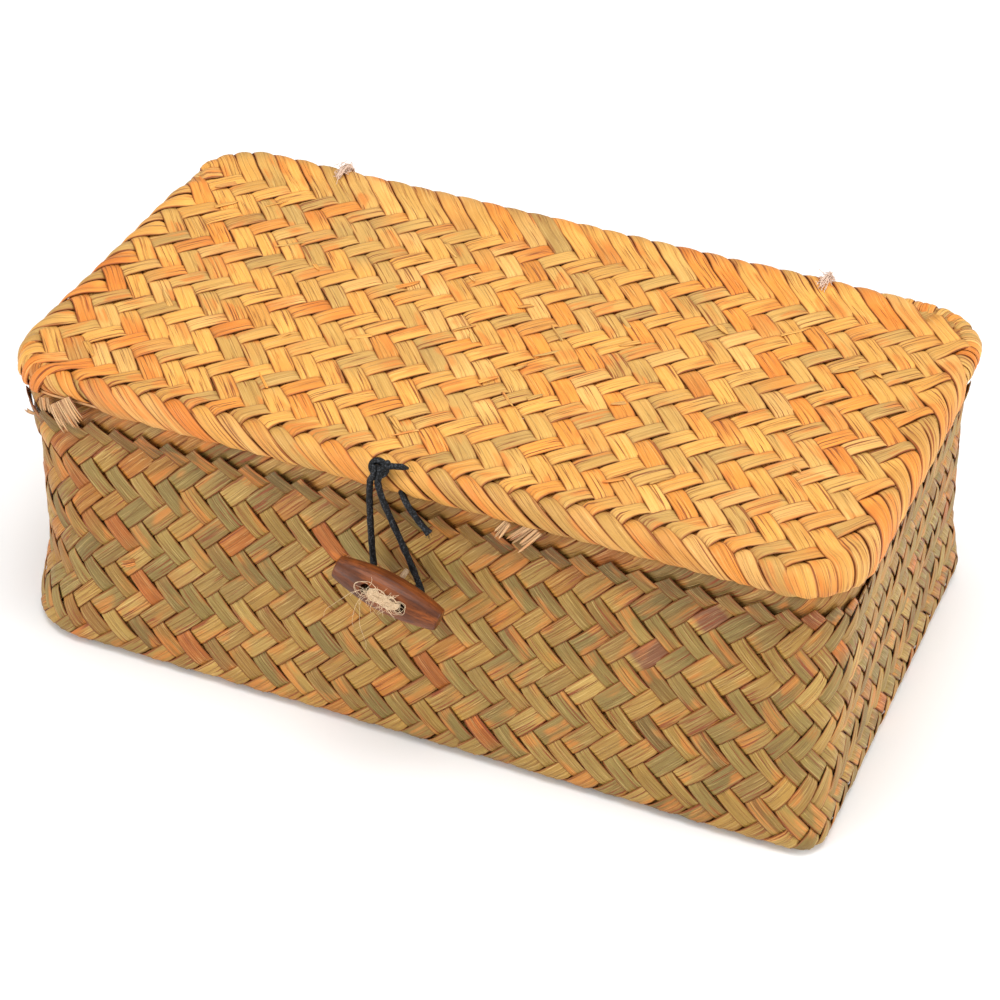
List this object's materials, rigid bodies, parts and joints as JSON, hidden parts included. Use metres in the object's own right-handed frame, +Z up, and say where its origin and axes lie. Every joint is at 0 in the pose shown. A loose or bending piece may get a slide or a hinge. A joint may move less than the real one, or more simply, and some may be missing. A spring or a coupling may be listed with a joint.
{
  "type": "wicker storage basket with lid",
  "caption": "Rectangular box plaited from flat seagrass strips, with a lid tied on at the back and a cord loop that closes over a wooden toggle.",
  "frame": {"origin": "centre of the underside that the basket stands on", "axes": "+X along the basket's length to the right of the closure, -Y towards the closure at the front, +Z up through the lid"},
  "size_m": [0.3, 0.1882, 0.1096],
  "materials": {
    "seagrass_box": "dyed dried seagrass strips, olive and tan with orange-brown streaks",
    "seagrass_lid": "dyed dried seagrass strips, amber with khaki and red-brown streaks",
    "core_grass": "bundled dry grass stems",
    "waxed_cord": "black waxed cotton cord",
    "toggle_wood": "turned hardwood stained red-brown and lacquered glossy",
    "jute_thread": "pale fluffy jute thread"
  },
  "bodies": {
    "basket": {"basket_body": "seagrass_box", "body_rim_wrap": "seagrass_box", "body_rim_core": "core_grass", "hinge_tie_left": "jute_thread", "hinge_tie_right": "jute_thread"},
    "lid": {"lid_panel": "seagrass_lid", "lid_rim_wrap": "seagrass_lid", "lid_rim_core": "core_grass", "closure_knot": "waxed_cord", "closure_tail_upper": "waxed_cord", "closure_tail_lower": "waxed_cord"},
    "closure_loop": {"closure_loop": "waxed_cord"},
    "toggle": {"toggle": "toggle_wood", "toggle_stitch": "jute_thread", "toggle_stitch_knot": "jute_thread"}
  },
  "joints": [
    {"name": "lid_hinge", "type": "hinge", "parent": "basket", "child": "lid", "pos_m": [0, 0.0817, 0.09625], "axis": [-1, 0, 0], "range_deg": [0, 180], "deforming": ["hinge_tie_left", "hinge_tie_right"]},
    {"name": "loop_swing", "type": "hinge", "parent": "lid", "child": "closure_loop", "pos_m": [-0.0066, -0.0848, 0.1022], "axis": [-1, 0, 0], "range_deg": [0, 170], "deforming": ["closure_loop"]},
    {"name": "toggle_turn", "type": "hinge", "parent": "basket", "child": "toggle", "pos_m": [0.00149, -0.08858, 0.06487], "axis": [0, 1, 0], "range_deg": [-90, 90]}
  ]
}
